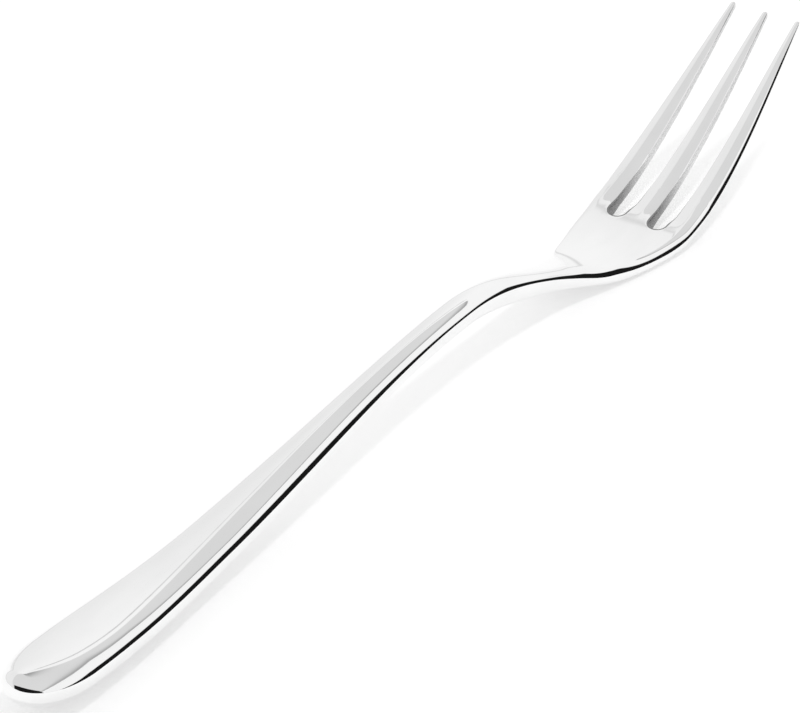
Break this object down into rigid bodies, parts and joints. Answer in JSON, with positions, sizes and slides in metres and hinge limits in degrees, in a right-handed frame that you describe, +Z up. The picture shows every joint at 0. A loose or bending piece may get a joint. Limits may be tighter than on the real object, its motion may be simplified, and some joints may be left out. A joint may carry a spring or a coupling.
{
  "type": "table fork",
  "caption": "Slender polished steel table fork with a thick rounded handle, an arched neck, a flared palm and long tapered tines.",
  "frame": {"origin": "on the table, under the middle of the fork's outer box", "axes": "+X along the fork towards the tine tips, +Y to its left, +Z up from the table"},
  "size_m": [0.1992, 0.0192, 0.0234],
  "materials": {
    "steel": "mirror-polished stainless steel, satin on the walls between the tines"
  },
  "bodies": {
    "root": {"handle": "steel", "neck": "steel", "palm": "steel", "tine_left": "steel", "tine_middle": "steel", "tine_right": "steel"}
  },
  "joints": []
}
